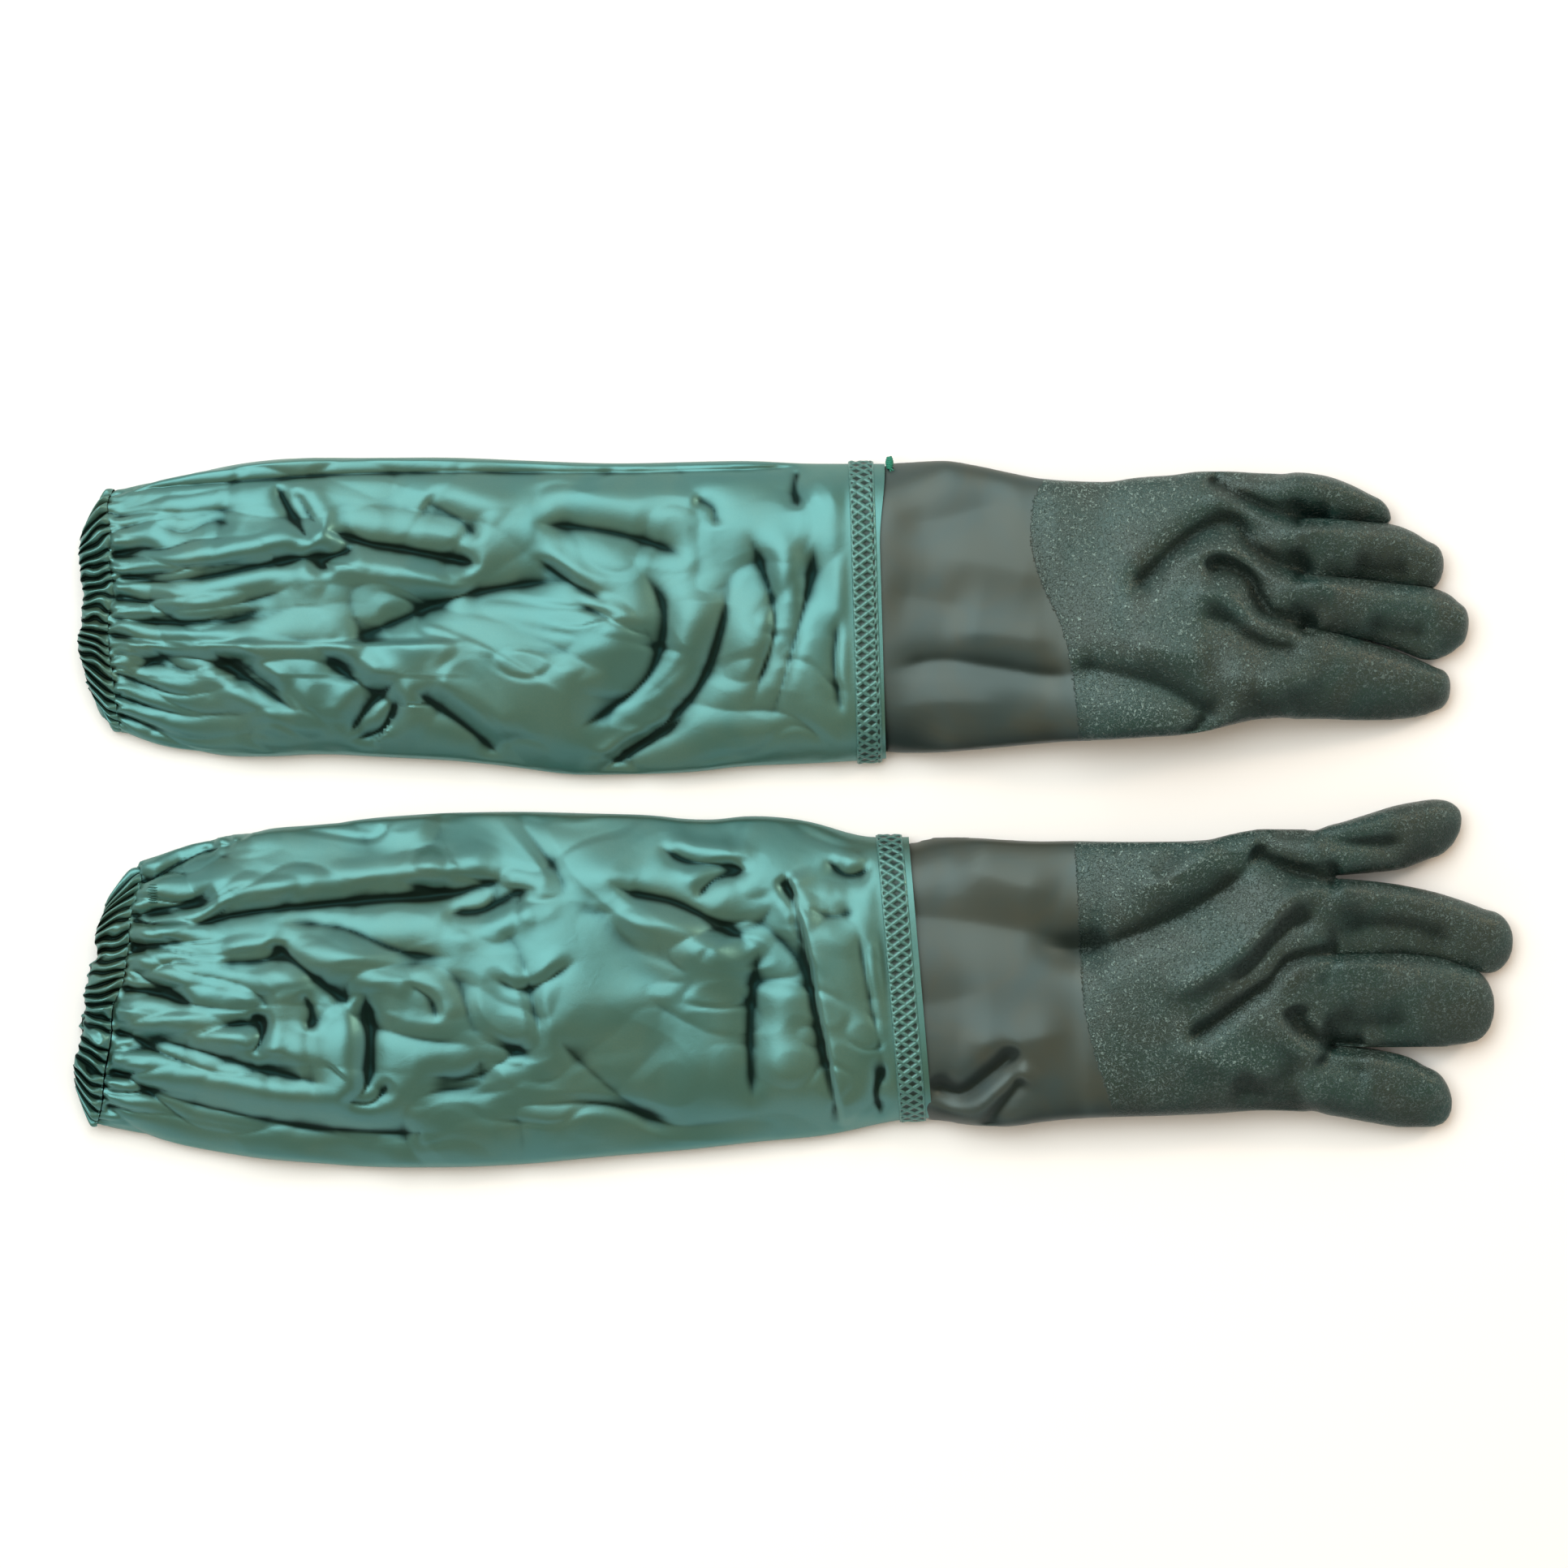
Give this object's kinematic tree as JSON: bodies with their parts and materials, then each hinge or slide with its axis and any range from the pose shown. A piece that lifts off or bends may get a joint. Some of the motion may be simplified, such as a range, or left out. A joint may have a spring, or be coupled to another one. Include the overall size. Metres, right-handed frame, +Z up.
{
  "type": "beekeeping gloves",
  "caption": "Pair of long gauntlet gloves with textured dipped hands, smooth cuffs and loose fabric sleeves gathered by an elastic hem, lying flat.",
  "frame": {"origin": "on the surface that the gloves lie on, under the middle of the pair", "axes": "+X towards the fingertips, +Y from the right glove to the left glove, +Z up through the backs of the hands"},
  "size_m": [0.656, 0.3244, 0.038],
  "materials": {
    "rough_pvc": "matte, crinkled",
    "smooth_pvc": "satin",
    "sleeve_fabric": "shiny satin coating",
    "weld_tape": "semi-gloss",
    "cotton_knit": "matte knit",
    "elastic_web": "matte",
    "green_thread": "matte"
  },
  "bodies": {
    "left_forearm": {"left_sleeve_lower": "sleeve_fabric", "left_seam_tape_lower": "weld_tape", "left_weld_band": "weld_tape", "left_cuff": "smooth_pvc", "left_cuff_liner": "cotton_knit", "left_seam_knot": "green_thread"},
    "left_upper_sleeve": {"left_sleeve_upper": "sleeve_fabric", "left_seam_tape_upper": "weld_tape", "left_hem_casing": "sleeve_fabric", "left_hem_elastic": "elastic_web", "left_hem_stitch": "green_thread"},
    "left_hand": {"left_palm": "rough_pvc", "left_palm_liner": "cotton_knit"},
    "left_little": {"left_little_finger": "rough_pvc", "left_little_finger_liner": "cotton_knit"},
    "left_ring": {"left_ring_finger": "rough_pvc", "left_ring_finger_liner": "cotton_knit"},
    "left_middle": {"left_middle_finger": "rough_pvc", "left_middle_finger_liner": "cotton_knit"},
    "left_index": {"left_index_finger": "rough_pvc", "left_index_finger_liner": "cotton_knit"},
    "left_thumb_body": {"left_thumb": "rough_pvc", "left_thumb_liner": "cotton_knit"},
    "right_forearm": {"right_sleeve_lower": "sleeve_fabric", "right_seam_tape_lower": "weld_tape", "right_weld_band": "weld_tape", "right_cuff": "smooth_pvc", "right_cuff_liner": "cotton_knit"},
    "right_upper_sleeve": {"right_sleeve_upper": "sleeve_fabric", "right_seam_tape_upper": "weld_tape", "right_hem_casing": "sleeve_fabric", "right_hem_elastic": "elastic_web", "right_hem_stitch": "green_thread"},
    "right_hand": {"right_palm": "rough_pvc", "right_palm_liner": "cotton_knit"},
    "right_little": {"right_little_finger": "rough_pvc", "right_little_finger_liner": "cotton_knit"},
    "right_ring": {"right_ring_finger": "rough_pvc", "right_ring_finger_liner": "cotton_knit"},
    "right_middle": {"right_middle_finger": "rough_pvc", "right_middle_finger_liner": "cotton_knit"},
    "right_index": {"right_index_finger": "rough_pvc", "right_index_finger_liner": "cotton_knit"},
    "right_thumb_body": {"right_thumb": "rough_pvc", "right_thumb_liner": "cotton_knit"}
  },
  "joints": [
    {"name": "right_glove_lift", "type": "slide", "parent": "left_forearm", "child": "right_forearm", "axis": [0, 0, 1], "range_m": [0, 0.2]},
    {"name": "left_sleeve_fold", "type": "hinge", "parent": "left_forearm", "child": "left_upper_sleeve", "pos_m": [-0.13, 0.09075, 0.032], "axis": [0, 1, 0], "range_deg": [0, 120]},
    {"name": "left_wrist_bend", "type": "hinge", "parent": "left_forearm", "child": "left_hand", "pos_m": [0.116, 0.0914, 0.028], "axis": [0, -1, 0], "range_deg": [0, 70]},
    {"name": "left_little_bend", "type": "hinge", "parent": "left_hand", "child": "left_little", "pos_m": [0.222, 0.14295, 0.032], "axis": [0, -1, 0], "range_deg": [0, 50], "stiffness_Nm_per_rad": 0.02},
    {"name": "left_ring_bend", "type": "hinge", "parent": "left_hand", "child": "left_ring", "pos_m": [0.222, 0.12045, 0.032], "axis": [0, -1, 0], "range_deg": [0, 50], "stiffness_Nm_per_rad": 0.02},
    {"name": "left_middle_bend", "type": "hinge", "parent": "left_hand", "child": "left_middle", "pos_m": [0.222, 0.0973, 0.032], "axis": [0, -1, 0], "range_deg": [0, 50], "stiffness_Nm_per_rad": 0.02},
    {"name": "left_index_bend", "type": "hinge", "parent": "left_hand", "child": "left_index", "pos_m": [0.222, 0.06395, 0.032], "axis": [0, -1, 0], "range_deg": [0, 50], "stiffness_Nm_per_rad": 0.02},
    {"name": "left_thumb_swing", "type": "hinge", "parent": "left_hand", "child": "left_thumb_body", "pos_m": [0.164, 0.057, 0.014], "axis": [0, 0, -1], "range_deg": [0, 80], "stiffness_Nm_per_rad": 0.02},
    {"name": "right_sleeve_fold", "type": "hinge", "parent": "right_forearm", "child": "right_upper_sleeve", "pos_m": [-0.13, -0.0805, 0.032], "axis": [0, 1, 0], "range_deg": [0, 120]},
    {"name": "right_wrist_bend", "type": "hinge", "parent": "right_forearm", "child": "right_hand", "pos_m": [0.131, -0.07585, 0.028], "axis": [0, -1, 0], "range_deg": [0, 70]},
    {"name": "right_little_bend", "type": "hinge", "parent": "right_hand", "child": "right_little", "pos_m": [0.238, -0.121, 0.032], "axis": [0, -1, 0], "range_deg": [0, 50], "stiffness_Nm_per_rad": 0.02},
    {"name": "right_ring_bend", "type": "hinge", "parent": "right_hand", "child": "right_ring", "pos_m": [0.238, -0.0847, 0.032], "axis": [0, -1, 0], "range_deg": [0, 50], "stiffness_Nm_per_rad": 0.02},
    {"name": "right_middle_bend", "type": "hinge", "parent": "right_hand", "child": "right_middle", "pos_m": [0.238, -0.04785, 0.032], "axis": [0, -1, 0], "range_deg": [0, 50], "stiffness_Nm_per_rad": 0.02},
    {"name": "right_index_bend", "type": "hinge", "parent": "right_hand", "child": "right_index", "pos_m": [0.238, -0.01865, 0.032], "axis": [0, -1, 0], "range_deg": [0, 50], "stiffness_Nm_per_rad": 0.02},
    {"name": "right_thumb_swing", "type": "hinge", "parent": "right_hand", "child": "right_thumb_body", "pos_m": [0.181, -0.037, 0.014], "axis": [0, 0, 1], "range_deg": [0, 80], "stiffness_Nm_per_rad": 0.02}
  ]
}
